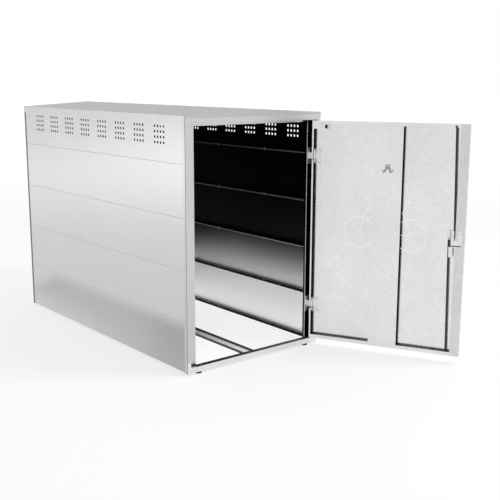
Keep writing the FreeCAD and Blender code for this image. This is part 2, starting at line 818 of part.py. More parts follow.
def anchor_brackets():
    """Four angle brackets on the inner legs of the sills, each with a hole for a ground anchor."""
    brackets = []
    for side in ("front", "rear"):
        for x in ("(-locker_width / 2 + anchor_inset)", "(locker_width / 2 - anchor_inset)"):
            def depth(near, far):
                if side == "front":
                    return (f"{STOP_FACE} + {near}", f"{STOP_FACE} + {far}")
                return (f"{BACK} - rebate_depth - {far}", f"{BACK} - rebate_depth - {near}")
            along = (f"{x} - anchor_length / 2", f"{x} + anchor_length / 2")
            leg = slab(along, depth("0", "anchor_thickness"), ("0", f"{OPENING_BOTTOM} - frame_sheet"))
            foot = slab(along, depth("0", "anchor_foot"), ("0", "anchor_thickness"))
            centre = depth("anchor_hole_distance", "anchor_hole_distance")[0]
            hole = bar("z", "anchor_hole_radius", x, centre, ("0", "anchor_thickness"))
            brackets.append(without(joined([leg, foot]), [hole]))
    name_part("anchor_brackets", group(brackets))


def wheel_rail():
    """The channel that guides the wheels, with a tab at each end against the sills."""
    bottom = "(foot_gap + rail_rise)"
    front_end = STOP_FACE
    rear_end = "(locker_length / 2 - rebate_depth)"
    half = "(rail_width / 2)"
    run = (front_end, rear_end)
    tab_z = (bottom, "foot_gap + rail_tab_height")
    pieces = [
        slab((f"-{half}", half), run, (bottom, f"{bottom} + rail_sheet")),
        slab((f"-{half}", f"-{half} + rail_sheet"), run, (bottom, f"{bottom} + rail_side_height")),
        slab((f"{half} - rail_sheet", half), run, (bottom, f"{bottom} + rail_side_height")),
        slab((f"-{half}", half), (front_end, f"{front_end} + rail_sheet"), tab_z),
        slab((f"-{half}", half), (f"{rear_end} - rail_sheet", rear_end), tab_z),
    ]
    height = "foot_gap + rail_screw_height"
    holes = []
    screws = []
    for x in RAIL_SCREW_PLACES:
        holes.append(bar("y", "rail_screw_radius + thread_clearance", x, height,
                         (front_end, f"{front_end} + rail_sheet")))
        holes.append(bar("y", "rail_screw_radius + thread_clearance", x, height,
                         (f"{rear_end} - rail_sheet", rear_end)))
        face = f"{front_end} + rail_sheet"
        tip = f"{front_end} - frame_sheet - rail_screw_tail"
        screws.append(joined([
            bar("y", "rail_screw_radius", x, height, (tip, face)),
            bar("y", "rail_screw_head_radius", x, height, (face, f"{face} + rail_screw_head_height")),
        ]))
        face = f"{rear_end} - rail_sheet"
        tip = f"{rear_end} + frame_sheet + rail_screw_tail"
        screws.append(joined([
            bar("y", "rail_screw_radius", x, height, (face, tip)),
            bar("y", "rail_screw_head_radius", x, height, (f"{face} - rail_screw_head_height", face)),
        ]))
    name_part("wheel_rail", without(joined(pieces), holes))
    name_part("rail_screws", group(screws))


def rest_block():
    """A small block on the sill that carries the free edge of the closed door."""
    left = f"{OPENING_LEFT} + rest_block_inset"
    block = slab((left, f"{left} + rest_block_length"), (f"{STOP_FACE} - rest_block_depth", STOP_FACE),
                 (OPENING_BOTTOM, f"{OPENING_BOTTOM} + door_gap_bottom - rest_clearance"))
    name_part("sill_rest_block", block)


# Slots for the locking rods, in the door and in the frame while the door is closed.
def rod_slot(pivot_x, pivot_y, z):
    """A slot round a rod's path through a horizontal plate."""
    half = "(rod_width / 2 + rod_side_clearance)"
    return slab((f"{pivot_x} + {GUIDE_X} - {half}", f"{pivot_x} + {GUIDE_X} + {half}"),
                (f"{pivot_y} + {ROD_BACK} - rod_face_clearance",
                 f"{pivot_y} + {ROD_FACE} + rod_face_clearance"),
                z)


def hinge_centres():
    """Heights of the two hinges."""
    return (f"({OPENING_TOP} - hinge_end_distance)", f"({OPENING_BOTTOM} + hinge_end_distance)")


def hinge_notch(centre):
    """What the frame's arm needs clear in the door's edge."""
    half = "(hinge_arm_height / 2 + hinge_notch_gap)"
    return slab((across_door("hinge_lip"), "hinge_inset"), (SKIN_INSIDE, LIP_PLANE),
                (f"{centre} - {half}", f"{centre} + {half}"))


def sign_tools():
    """Round bars through the door's skin along the lines of a simple bicycle."""
    tools = []

    def hole(across, up):
        tools.append(bar("y", "sign_hole_radius", across_door(f"(sign_rear_wheel) + {across}"),
                         f"sign_height + {up}", (SKIN_OUTSIDE, SKIN_INSIDE)))

    for wheel in ("0", "-sign_wheelbase"):
        for index in range(SIGN_WHEEL_HOLES):
            angle = 360 * index / SIGN_WHEEL_HOLES
            hole(f"({wheel} + sign_wheel_radius * cos({angle}))", f"(sign_wheel_radius * sin({angle}))")
    for start, end, steps, first, last in SIGN_LINES:
        for step in range(first, steps + 1 - last):
            share = step / steps
            forward = SIGN_POINTS[start][0] * (1 - share) + SIGN_POINTS[end][0] * share
            up = SIGN_POINTS[start][1] * (1 - share) + SIGN_POINTS[end][1] * share
            hole(f"(-{forward:.5f} * sign_wheelbase)", f"({up:.5f} * sign_wheel_radius)")
    return group(tools)


def door_leaf():
    """The door tray: skin, four rims and four lips."""
    left = across_door(DOOR_WIDTH)
    right = "hinge_inset"
    height = (DOOR_BOTTOM, DOOR_TOP)
    depth = (SKIN_OUTSIDE, LIP_PLANE)
    lip = (f"{LIP_PLANE} - door_sheet", LIP_PLANE)
    pieces = [
        slab((left, right), (SKIN_OUTSIDE, SKIN_INSIDE), height),
        slab((left, f"{left} + door_sheet"), depth, height),
        slab((f"{right} - door_sheet", right), depth, height),
        slab((left, right), depth, (DOOR_BOTTOM, f"{DOOR_BOTTOM} + door_sheet")),
        slab((left, right), depth, (f"{DOOR_TOP} - door_sheet", DOOR_TOP)),
        slab((left, f"{left} + lock_lip"), lip, height),
        slab((f"{right} - hinge_lip", right), lip, height),
        slab((left, right), lip, (DOOR_BOTTOM, f"{DOOR_BOTTOM} + end_lip")),
        slab((left, right), lip, (f"{DOOR_TOP} - end_lip", DOOR_TOP)),
    ]
    cuts = [
        rod_slot("0", "0", (DOOR_BOTTOM, f"{DOOR_BOTTOM} + door_sheet")),
        rod_slot("0", "0", (f"{DOOR_TOP} - door_sheet", DOOR_TOP)),
        bar("y", "spindle_radius + spindle_clearance", LOCK_X, "lock_height", (SKIN_OUTSIDE, SKIN_INSIDE)),
        sign_tools(),
        slab((f"{GUIDE_X} - rod_width / 2 - rod_notch_side", f"{GUIDE_X} + rod_width / 2 + rod_notch_side"), lip,
             (f"{DOOR_TOP} - end_lip", f"{DOOR_TOP} - end_lip + rod_notch_height")),
    ]
    for centre in hinge_centres():
        cuts.append(hinge_notch(centre))
    for height in guard_screw_heights():
        cuts.append(bar("y", "guard_screw_radius + thread_clearance", GUARD_SCREW_X, height, lip))
    for centre in hinge_centres():
        for height in hinge_screw_heights(centre):
            cuts.append(bar("y", "hinge_screw_radius + thread_clearance", DOOR_SCREW_X, height,
                            (f"{SKIN_INSIDE} - door_sheet / 2", SKIN_INSIDE)))
    cuts.append(bar("y", "rivet_radius + thread_clearance", across_door("corner_rivet_inset"),
                    f"{DOOR_TOP} - corner_rivet_drop", lip))
    door_part("door_leaf", without(joined(pieces), cuts))


GUARD_RIGHT = "(hinge_inset - locker_width + 2 * jamb_face + 2 * door_gap_side + guard_edge + guard_width)"
GUARD_LEFT = "(hinge_inset - locker_width + 2 * jamb_face + 2 * door_gap_side + guard_edge)"
GUARD_SCREW_X = f"({GUARD_LEFT} + guard_edge / 2)"
DOOR_SCREW_X = "(hinge_screw_edge - hinge_door_leaf_width)"
FRAME_SCREW_X = "(hinge_screw_edge - hinge_frame_leaf_width + hinge_inset - hinge_plate)"


def guard_screw_heights():
    return ("(lock_height - guard_height / 2 + guard_edge)", "(lock_height + guard_height / 2 - guard_edge)")


def hinge_screw_heights(centre):
    return (f"({centre} - hinge_leaf_height / 2 + hinge_screw_end)",
            f"({centre} + hinge_leaf_height / 2 - hinge_screw_end)")


def stiffener():
    """The hat section down the middle of the door, as deep as the tray."""
    left = across_door("stiffener_start + stiffener_width")
    right = across_door("stiffener_start")
    height = (f"{DOOR_BOTTOM} + end_lip", f"{DOOR_TOP} - end_lip")
    web = slab((left, right), (f"{LIP_PLANE} - stiffener_sheet", LIP_PLANE), height)
    walls = [
        slab((left, f"{left} + stiffener_sheet"), (SKIN_INSIDE, LIP_PLANE), height),
        slab((f"{right} - stiffener_sheet", right), (SKIN_INSIDE, LIP_PLANE), height),
    ]
    door_part("door_stiffener", joined([web] + walls))


def corner_plate():
    """The plate that closes the tray's top corner on the hinge side, riveted behind the top lip."""
    right = "(hinge_inset - door_sheet)"
    left = across_door("corner_plate_length")
    back = f"{LIP_PLANE} - door_sheet"
    top = f"({DOOR_TOP} - door_sheet)"
    plate_y = (f"{back} - corner_plate_sheet", back)
    plate = slab((left, right), plate_y, (f"{top} - corner_plate_height", top))
    slot_top = f"({DOOR_TOP} - end_lip - corner_slot_edge)"
    slot = slab((f"{left} + corner_slot_edge", f"{left} + corner_slot_edge + corner_slot_length"), plate_y,
                (f"{slot_top} - corner_slot_height", slot_top))
    rivets = []
    holes = [slot]
    for step in (0, 1):
        height = f"({DOOR_TOP} - corner_rivet_drop - {step} * corner_rivet_pitch)"
        x = across_door("corner_rivet_inset")
        seat = LIP_PLANE if step == 0 else back
        holes.append(bar("y", "rivet_radius + thread_clearance", x, height, plate_y))
        rivets.append(joined([
            bar("y", "rivet_radius", x, height, (f"{plate_y[0]} - rivet_tail / 2", seat)),
            bar("y", "rivet_head_radius", x, height, (seat, f"{seat} + rivet_head_height")),
        ]))
    door_part("door_corner_plate", without(plate, holes))
    return rivets


def hinges():
    """Two pin hinges: a leaf and arm on the door stop, a leaf with two knuckles in the tray."""
    knuckle_radius = "(hinge_inset - door_sheet - hinge_knuckle_gap)"
    bore_radius = "hinge_pin_radius + hinge_pin_clearance"
    frame_parts = []
    door_parts = []
    pins = []
    frame_screws = []
    door_screws = []
    for centre in hinge_centres():
        arm = (f"{centre} - hinge_arm_height / 2", f"{centre} + hinge_arm_height / 2")
        leaf = (f"{centre} - hinge_leaf_height / 2", f"{centre} + hinge_leaf_height / 2")
        leaf_right = f"({PIVOT_X} + hinge_inset - hinge_plate)"
        stop_y = (f"{STOP_FACE} - hinge_plate", STOP_FACE)
        leaf_plate = slab((f"{leaf_right} - hinge_frame_leaf_width", leaf_right), stop_y, leaf)
        arm_left = f"({PIVOT_X} - {knuckle_radius})"
        arm_plate = slab((arm_left, f"{arm_left} + hinge_arm_thickness"), (PIVOT_Y, STOP_FACE), arm)
        knuckle = bar("z", knuckle_radius, PIVOT_X, PIVOT_Y, arm)
        bore = bar("z", bore_radius, PIVOT_X, PIVOT_Y, arm)
        screw_x = f"({PIVOT_X} + {FRAME_SCREW_X})"
        holes = [bore]
        for height in hinge_screw_heights(centre):
            holes.append(bar("y", "hinge_screw_radius + thread_clearance", screw_x, height, stop_y))
            frame_screws.append(joined([
                bar("y", "hinge_screw_radius", screw_x, height,
                    (stop_y[0], f"{STOP_FACE} + frame_sheet + rivet_tail")),
                bar("y", "hinge_screw_head_radius", screw_x, height,
                    (f"{stop_y[0]} - hinge_screw_head_height / 2", stop_y[0])),
            ]))
        frame_parts.append(without(joined([leaf_plate, arm_plate, knuckle]), holes))
        upper = (f"{arm[1]} + hinge_axial_gap", f"{arm[1]} + hinge_axial_gap + hinge_upper_knuckle")
        lower = (f"{arm[0]} - hinge_axial_gap - hinge_lower_knuckle", f"{arm[0]} - hinge_axial_gap")
        plate_y = (SKIN_INSIDE, f"{SKIN_INSIDE} + hinge_plate")
        plate = slab(("-hinge_door_leaf_width", "0"), plate_y, leaf)
        relief_x = (f"-{knuckle_radius} - hinge_notch_gap", "0")
        arm_relief = slab(relief_x, plate_y, (f"{arm[0]} - hinge_axial_gap", f"{arm[1]} + hinge_axial_gap"))
        head_relief = slab(relief_x, plate_y, (upper[1], leaf[1]))
        knuckles = [bar("z", knuckle_radius, "0", "0", upper), bar("z", knuckle_radius, "0", "0", lower)]
        door_holes = [arm_relief, head_relief]
        for span in (upper, lower):
            door_holes.append(bar("z", bore_radius, "0", "0", span))
        for height in hinge_screw_heights(centre):
            door_holes.append(bar("y", "hinge_screw_radius + thread_clearance", DOOR_SCREW_X, height,
                                  plate_y))
            door_screws.append(joined([
                bar("y", "hinge_screw_radius", DOOR_SCREW_X, height,
                    (f"{SKIN_INSIDE} - door_sheet / 2", plate_y[1])),
                bar("y", "hinge_screw_head_radius", DOOR_SCREW_X, height,
                    (plate_y[1], f"{plate_y[1]} + hinge_screw_head_height")),
            ]))
        door_parts.append(without(joined([plate] + knuckles), door_holes))
        pins.append(joined([
            bar("z", "hinge_pin_radius", PIVOT_X, PIVOT_Y, (lower[0], f"{upper[1]} + hinge_pin_clearance")),
            bar("z", knuckle_radius, PIVOT_X, PIVOT_Y,
                (f"{upper[1]} + hinge_pin_clearance", f"{upper[1]} + hinge_pin_clearance + hinge_pin_head")),
        ]))
    name_part("frame_hinge_leaves", group(frame_parts))
    name_part("hinge_pins", group(pins))
    name_part("frame_hinge_screws", group(frame_screws))
    door_part("door_hinge_leaves", group(door_parts))
    door_part("door_hinge_screws", group(door_screws))


def turned_group(solids, lean, x, z):
    """Pieces drawn from a pivot at the origin, leaned about Y and carried to their place in the door."""
    carried = group(solids)
    carried.Placement = FreeCAD.Placement(FreeCAD.Vector(), FreeCAD.Rotation(FreeCAD.Vector(0, 1, 0), 1))
    bind(carried, "Placement.Rotation.Angle", lean)
    bind(carried, "Placement.Base.x", x)
    bind(carried, "Placement.Base.z", z)
    return carried


def rod(label, direction):
    """A flat locking rod from its pin on the cam to the top or the bottom of the door."""
    rod_x = ("-rod_width / 2", "rod_width / 2")
    rod_y = (ROD_BACK, ROD_FACE)
    if direction > 0:
        reach = f"({DOOR_TOP} - rod_recess - lock_height)"
        shift = f"({GUIDE_X} - {LOCK_X} + cam_throw)"
        strip = slab(rod_x, rod_y, ("0", reach))
        lean = f"atan({shift} / {reach})"
        pivot = f"{LOCK_X} - cam_throw"
    else:
        reach = f"(lock_height - {DOOR_BOTTOM} - rod_recess)"
        shift = f"({LOCK_X} - {GUIDE_X} + cam_throw)"
        strip = slab(rod_x, rod_y, (f"-{reach}", "0"))
        lean = f"atan({shift} / {reach})"
        pivot = f"{LOCK_X} + cam_throw"
    eye = bar("y", "rod_width / 2", "0", "0", rod_y)
    hole = bar("y", "cam_pin_radius + cam_pin_clearance", "0", "0", rod_y)
    bar_with_eye = without(joined([strip, eye]), [hole])
    door_part(label, group([turned_group([bar_with_eye], lean, pivot, "lock_height")]))
    return lean, pivot


def rod_link(lean, pivot):
    """The bright link plate on the lower rod, just below the lock."""
    plate = slab(("-link_width", "0"), (ROD_FACE, f"{ROD_FACE} + link_thickness"),
                 ("-link_drop - link_length", "-link_drop"))
    door_part("lower_rod_link", group([turned_group([plate], lean, pivot, "lock_height")]))


def lock_parts():
    """Guard plate over the cam, stop block beside it, outside escutcheon."""
    bottom = "(lock_height - guard_height / 2)"
    top = "(lock_height + guard_height / 2)"
    face_y = (LIP_PLANE, f"{LIP_PLANE} + guard_plate")
    plate = slab((GUARD_LEFT, GUARD_RIGHT), face_y, (bottom, top))
    flange = slab((f"{GUARD_LEFT} + lock_lip - guard_edge", GUARD_RIGHT),
                  (f"{LIP_PLANE} - guard_bottom_flange", f"{LIP_PLANE} + guard_plate"),
                  (bottom, f"{bottom} + guard_plate"))
    window_left = f"({GUARD_LEFT} + guard_window_inset)"
    window = slab((window_left, f"{window_left} + guard_window_width"), face_y,
                  (f"{top} - guard_window_height", top))
    holes = [window]
    screws = []
    for height in guard_screw_heights():
        holes.append(bar("y", "guard_screw_radius + thread_clearance", GUARD_SCREW_X, height, face_y))
        screws.append(joined([
            bar("y", "guard_screw_radius", GUARD_SCREW_X, height,
                (f"{LIP_PLANE} - door_sheet - rivet_tail", face_y[1])),
            bar("y", "guard_screw_head_radius", GUARD_SCREW_X, height,
                (face_y[1], f"{face_y[1]} + guard_screw_head_height")),
        ]))
    door_part("lock_guard", without(joined([plate, flange]), holes))
    door_part("lock_guard_screws", group(screws))
    block_bottom = "(lock_height + cam_arm_radius + stop_block_gap)"
    block_left = f"({LOCK_X} + cam_arm_radius + stop_block_gap)"
    block = slab((block_left, f"{block_left} + stop_block_width"),
                 (SKIN_INSIDE, f"{SKIN_INSIDE} + stop_block_depth"),
                 (block_bottom, f"{block_bottom} + stop_block_height"))
    door_part("cam_stop_block", group([block]))
    plate = bar("y", "escutcheon_radius", LOCK_X, "lock_height",
                (f"{SKIN_OUTSIDE} - escutcheon_thickness", SKIN_OUTSIDE))
    hole = bar("y", "spindle_radius + spindle_clearance", LOCK_X, "lock_height",
               (f"{SKIN_OUTSIDE} - escutcheon_thickness", SKIN_OUTSIDE))
    door_part("handle_escutcheon", without(plate, [hole]))


def handle_parts():
    """Outside T-handle with its spindle, the cam inside and the key plug."""
    seat = f"({SKIN_OUTSIDE} - escutcheon_thickness - handle_running_gap)"
    nose = f"({seat} - handle_hub_length)"
    hub = bar("y", "handle_hub_radius", LOCK_X, "lock_height", (nose, seat))
    grip_y = f"({nose} + handle_grip_setback + handle_grip_radius)"
    grip = bar("x", "handle_grip_radius", grip_y, "lock_height",
               (f"{LOCK_X} - handle_grip_length / 2", f"{LOCK_X} + handle_grip_length / 2"))
    socket = bar("y", "plug_radius + plug_clearance", LOCK_X, "lock_height", (nose, f"{nose} + plug_depth"))
    door_part("door_handle", without(joined([hub, grip]), [socket]))
    plug = bar("y", "plug_radius", LOCK_X, "lock_height",
               (f"{nose} - plug_proud", f"{nose} + plug_depth - plug_clearance"))
    slot = slab((f"{LOCK_X} - key_slot_width / 2", f"{LOCK_X} + key_slot_width / 2"),
                (f"{nose} - plug_proud", f"{nose} - plug_proud + key_slot_depth"),
                ("lock_height - key_slot_length / 2", "lock_height + key_slot_length / 2"))
    door_part("key_plug", without(plug, [slot]))
    spindle = bar("y", "spindle_radius", LOCK_X, "lock_height", (seat, CAM_FACE))
    door_part("handle_spindle", group([spindle]))
    cam_y = (CAM_BACK, CAM_FACE)
    arm = slab((f"{LOCK_X} - cam_throw", f"{LOCK_X} + cam_throw"), cam_y,
               ("lock_height - cam_arm_radius", "lock_height + cam_arm_radius"))
    pieces = [arm, bar("y", "cam_hub_radius", LOCK_X, "lock_height", cam_y)]
    pins = []
    for sign in ("-", "+"):
        x = f"{LOCK_X} {sign} cam_throw"
        pieces.append(bar("y", "cam_arm_radius", x, "lock_height", cam_y))
        cap = f"{ROD_FACE} + rod_layer_gap"
        pins.append(joined([
            bar("y", "cam_pin_radius", x, "lock_height", (CAM_FACE, cap)),
            bar("y", "cam_pin_cap_radius", x, "lock_height", (cap, f"{cap} + cam_pin_cap_height")),
        ]))
    bore = bar("y", "spindle_radius + thread_clearance", LOCK_X, "lock_height", cam_y)
    door_part("lock_cam", without(joined(pieces), [bore]))
    door_part("cam_pins", group(pins))


def coat_hook():
    """A plate with two prongs on the middle of the stiffener, and its two screws."""
    read = {alias: float(sheet.get(alias)) for alias in
            ("hook_prong_radius", "hook_prong_spread", "hook_prong_drop", "hook_prong_reach", "hook_tip_rise",
             "hook_height", "hook_plate_height", "hinge_inset", "door_depth", "hook_plate_thickness",
             "stiffener_start", "stiffener_width")}
    middle = read["hinge_inset"] - read["stiffener_start"] - read["stiffener_width"] / 2
    plane = read["door_depth"] - read["hinge_inset"] + read["hook_plate_thickness"] / 2
    radius = read["hook_prong_radius"]
    prongs = []
    for sign in (-1, 1):
        root = FreeCAD.Vector(middle + sign * radius * HOOK_ROOT_SPREAD, plane, read["hook_height"] - radius)
        bend = FreeCAD.Vector(middle + sign * read["hook_prong_spread"] * HOOK_BEND_SPREAD,
                              plane + read["hook_prong_reach"] * HOOK_BEND_REACH,
                              read["hook_height"] - read["hook_prong_drop"])
        tip = FreeCAD.Vector(middle + sign * read["hook_prong_spread"], plane + read["hook_prong_reach"],
                             read["hook_height"] - read["hook_prong_drop"] + read["hook_tip_rise"])
        path = Part.BSplineCurve()
        path.interpolate([root, (root + bend) * 0.5 + FreeCAD.Vector(0, radius, 0), bend, tip])
        wire = Part.Wire([path.toShape()])
        start = path.tangent(path.FirstParameter)[0]
        profile = Part.Wire([Part.Circle(root, start, radius).toShape()])
        prong = wire.makePipeShell([profile], True, False)
        prongs.append(prong)
        prongs.append(Part.makeSphere(radius * HOOK_KNOB, tip))
    prong_feature = doc.addObject("Part::Feature", "Prongs")
    prong_feature.Shape = prongs[0].multiFuse(prongs[1:])
    half = "(hook_plate_width / 2)"
    x = across_door("stiffener_start + stiffener_width / 2")
    plate_y = (LIP_PLANE, f"{LIP_PLANE} + hook_plate_thickness")
    plate_z = ("hook_height - hook_plate_height / 2", "hook_height + hook_plate_height / 2")
    plate = slab((f"{x} - {half}", f"{x} + {half}"), plate_y, plate_z)
    holes = []
    screws = []
    for sign in ("-", "+"):
        height = "hook_height + hook_plate_height / 4"
        side = f"{x} {sign} hook_screw_pitch / 2"
        holes.append(bar("y", "hinge_screw_radius + thread_clearance", side, height, plate_y))
        screws.append(joined([
            bar("y", "hinge_screw_radius", side, height, (LIP_PLANE, plate_y[1])),
            bar("y", "hinge_screw_head_radius", side, height,
                (plate_y[1], f"{plate_y[1]} + hinge_screw_head_height")),
        ]))
    door_part("coat_hook", without(joined([plate, prong_feature]), holes))
    return screws


strike = rod_slot(PIVOT_X, PIVOT_Y, (OPENING_TOP, f"{OPENING_TOP} + frame_sheet"))
sill_strike = rod_slot(PIVOT_X, PIVOT_Y, (f"{OPENING_BOTTOM} - frame_sheet", OPENING_BOTTOM))
post("front_post_left", LEFT, 1, "lock_stop", post_lip_holes("left", 0))
post("front_post_right", RIGHT, -1, "hinge_stop", post_lip_holes("right", 0) + hinge_screw_holes())
rear_post("rear_post_left", LEFT, 1, post_lip_holes("left", 1) + post_lip_holes("rear", 0))
rear_post("rear_post_right", RIGHT, -1, post_lip_holes("right", 1) + post_lip_holes("rear", 1))
front_header(strike)
rear_header()
sill("front_sill", "front", (OPENING_LEFT, OPENING_RIGHT), [sill_strike])
sill("rear_sill", "rear", REAR_ENDS, [])
vents = vent_tools()
rivets = []
for wall in ("left", "right", "rear"):
    for row in range(PANEL_ROWS):
        cuts = []
        if wall != "rear" and row == PANEL_ROWS - 1:
            cuts = [vents] + stud_holes(wall)
        cassette(wall, row, cuts)
        rivets += lip_rivets(wall, row)
name_part("lip_rivets", group(rivets))
wall_fasteners()
roof()
roof_fasteners()
levelling_feet()
anchor_brackets()
wheel_rail()
rest_block()
door_leaf()
stiffener()
corner_rivets = corner_plate()
hinges()
rod("upper_rod", 1)
lower_lean, lower_pivot = rod("lower_rod", -1)
rod_link(lower_lean, lower_pivot)
lock_parts()
handle_parts()
hook_screws = coat_hook()
door_part("door_fixings", group(corner_rivets + hook_screws))
doc.recompute()

for thing in doc.Objects:
    for state in thing.State:
        if state in ("Invalid", "Error"):
            raise RuntimeError(f"{thing.Label} is {state}")
os.makedirs("parts", exist_ok=True)
for solid in SUB_PARTS:
    if solid.Shape.isNull() or not solid.Shape.isValid():
        raise RuntimeError(f"{solid.Label} has no valid shape")
for solid in SUB_PARTS:
    solid.Shape.exportStep(f"parts/{solid.Label}.step")
    print(solid.Label, len(solid.Shape.Solids), round(solid.Shape.Volume))
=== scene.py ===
"""Finishes, light and camera of the bicycle locker."""
import json
import math
import bpy
from mathutils import Matrix, Vector


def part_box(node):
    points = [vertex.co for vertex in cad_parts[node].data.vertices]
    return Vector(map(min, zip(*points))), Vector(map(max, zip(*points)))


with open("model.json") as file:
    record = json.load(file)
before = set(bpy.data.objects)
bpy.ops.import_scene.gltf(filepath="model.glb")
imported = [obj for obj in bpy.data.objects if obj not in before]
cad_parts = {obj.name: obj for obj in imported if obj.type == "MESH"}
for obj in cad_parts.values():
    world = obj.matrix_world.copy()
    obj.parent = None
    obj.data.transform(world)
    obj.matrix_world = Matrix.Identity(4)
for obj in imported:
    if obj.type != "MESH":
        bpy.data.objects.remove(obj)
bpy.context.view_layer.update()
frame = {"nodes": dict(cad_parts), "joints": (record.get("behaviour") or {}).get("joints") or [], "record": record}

# Half the width of a mask's edge, in metres, from the sharpest to the softest.
SHEET_BLUR = 0.0002
LINE_BLUR = 0.0003
STRIP_BLUR = 0.0005
FOLD_BLUR = 0.001
TOP_BLUR = 0.002
SEAM_BLUR = 0.003
PLACE_BLUR = 0.01
FLOOR_BLUR = 0.02
HEIGHT_BLUR = 0.05

# A face looks in a direction where more than this share of its normal does.
TURNED = 0.5
TURN_BLUR = 0.1

# The colour sockets of Blender's Mix node, by number.
MIX_FACTOR = 0
MIX_FIRST = 6
MIX_SECOND = 7
MIX_RESULT = 2


class Channel:
    """A socket that gives a number, worked with like one."""

    def __init__(self, sheet, socket):
        self.sheet = sheet
        self.socket = socket

    def worked(self, operation, first, second=0.0):
        return self.sheet.number("ShaderNodeMath", {"operation": operation}, {0: first, 1: second})

    def __add__(self, other):
        return self.worked("ADD", self, other)

    def __sub__(self, other):
        return self.worked("SUBTRACT", self, other)

    def __rsub__(self, other):
        return self.worked("SUBTRACT", other, self)

    def __mul__(self, other):
        return self.worked("MULTIPLY", self, other)

    __radd__ = __add__
    __rmul__ = __mul__

    def __neg__(self):
        return 0 - self

    def at_least(self, other):
        return self.worked("MAXIMUM", self, other)

    def size(self):
        return self.worked("ABSOLUTE", self)

    def between(self, low, high):
        """From 0 at low to 1 at high, smoothly."""
        inputs = {"Value": self, "From Min": low, "From Max": high}
        return self.sheet.number("ShaderNodeMapRange", {"interpolation_type": "SMOOTHSTEP"}, inputs, "Result")

    def beyond(self, limit, blur):
        """1 above a limit and 0 below it."""
        return self.between(limit - blur, limit + blur)

    def below(self, limit, blur):
        """1 below a limit and 0 above it."""
        return 1 - self.beyond(limit, blur)

    def turned(self):
        """1 where this share of the surface's normal is large, 0 elsewhere."""
        return self.beyond(TURNED, TURN_BLUR)


class NodeSheet:
    """A node tree, filled by one method."""

    def __init__(self, tree):
        self.tree = tree
        self.tree.nodes.clear()

    def add(self, kind, settings, inputs):
        """A node of a kind: its settings first, then the values or links of its sockets."""
        node = self.tree.nodes.new(kind)
        for setting, value in settings.items():
            setattr(node, setting, value)
        for socket, value in inputs.items():
            self.feed(node.inputs[socket], value)
        return node

    def feed(self, socket, value):
        """Give a socket its link, its colour or its number."""
        if isinstance(value, Channel):
            value = value.socket
        if isinstance(value, bpy.types.NodeSocket):
            self.tree.links.new(value, socket)
        elif socket.type == "RGBA":
            socket.default_value = (*value, 1.0)
        else:
            socket.default_value = value

    def number(self, kind, settings, inputs, output="Value"):
        """The number that a new node gives."""
        return Channel(self, self.add(kind, settings, inputs).outputs[output])

    def part(self, vector, axis):
        """One of the three numbers of a vector."""
        return self.number("ShaderNodeSeparateXYZ", {}, {"Vector": vector}, axis)

    def along(self, vector, direction):
        """How far a vector reaches in a direction."""
        inputs = {0: vector, 1: direction}
        return self.number("ShaderNodeVectorMath", {"operation": "DOT_PRODUCT"}, inputs)

    def length(self, vector):
        return self.number("ShaderNodeVectorMath", {"operation": "LENGTH"}, {0: vector})

    def mixed(self, factor, first, second):
        """One colour turning into another, by a number from 0 to 1."""
        inputs = {MIX_FACTOR: factor, MIX_FIRST: first, MIX_SECOND: second}
        return self.add("ShaderNodeMix", {"data_type": "RGBA"}, inputs).outputs[MIX_RESULT]

    def combined(self, red, green, blue):
        """A colour from three numbers."""
        inputs = {"Red": red, "Green": green, "Blue": blue}
        return self.add("ShaderNodeCombineColor", {}, inputs).outputs["Color"]


class Finish(NodeSheet):
    """One procedural material."""

    def __init__(self, name, **shader_values):
        self.material = bpy.data.materials.new(name)
        self.material.use_nodes = True
        super().__init__(self.material.node_tree)
        values = {socket.replace("_", " "): value for socket, value in shader_values.items()}
        self.shader = self.add("ShaderNodeBsdfPrincipled", {}, values)
        self.add("ShaderNodeOutputMaterial", {}, {"Surface": self.shader.outputs["BSDF"]})
        coordinates = self.add("ShaderNodeTexCoord", {}, {})
        self.place = coordinates.outputs["Object"]
        self.facing = coordinates.outputs["Normal"]
        self.dullness = 0.0

    def coordinate(self, axis):
        """The surface's own place along an axis, in metres."""
        return self.part(self.place, axis)

    def looks(self, axis):
        """The share of the surface's normal that lies along an axis."""
        return self.part(self.facing, axis)

    def noise(self, stretch, scale, detail, roughness=0.5):
        """Noise from 0 to 1 in coordinates stretched along the axes."""
        stretched = self.add("ShaderNodeMapping", {}, {"Vector": self.place, "Scale": stretch})
        inputs = {"Vector": stretched.outputs["Vector"], "Scale": scale}
        inputs.update({"Detail": detail, "Roughness": roughness})
        return self.number("ShaderNodeTexNoise", {}, inputs, "Fac")

    def spangle(self, scale):
        """A number from 0 to 1 that is the same all over each crystal of the zinc."""
        cells = self.add("ShaderNodeTexVoronoi", {"feature": "F1"}, {"Vector": self.place, "Scale": scale})
        return self.part(cells.outputs["Color"], "X")

    def colour(self, value):
        self.feed(self.shader.inputs["Base Color"], value)

    def glow(self, value):
        self.feed(self.shader.inputs["Emission Color"], value)

    def roughness(self, value):
        self.feed(self.shader.inputs["Roughness"], value)

    def metallic(self, value):
        self.feed(self.shader.inputs["Metallic"], value)

    def bump(self, height, strength, distance):
        inputs = {"Height": height, "Strength": strength, "Distance": distance}
        bumped = self.add("ShaderNodeBump", {}, inputs)
        self.feed(self.shader.inputs["Normal"], bumped.outputs["Normal"])


def grey(tone, warmth=0.0):
    return (tone * (1 + warmth), tone, tone * (1 - warmth))


def blend(mask, below, above):
    """One number turning into another, by a mask."""
    return mask * above + (1 - mask) * below


def weighted(layers, weights):
    """The sum of some layers, each times its weight."""
    total = layers[0] * weights[0]
    for layer, weight in zip(layers[1:], weights[1:]):
        total = total + layer * weight
    return total


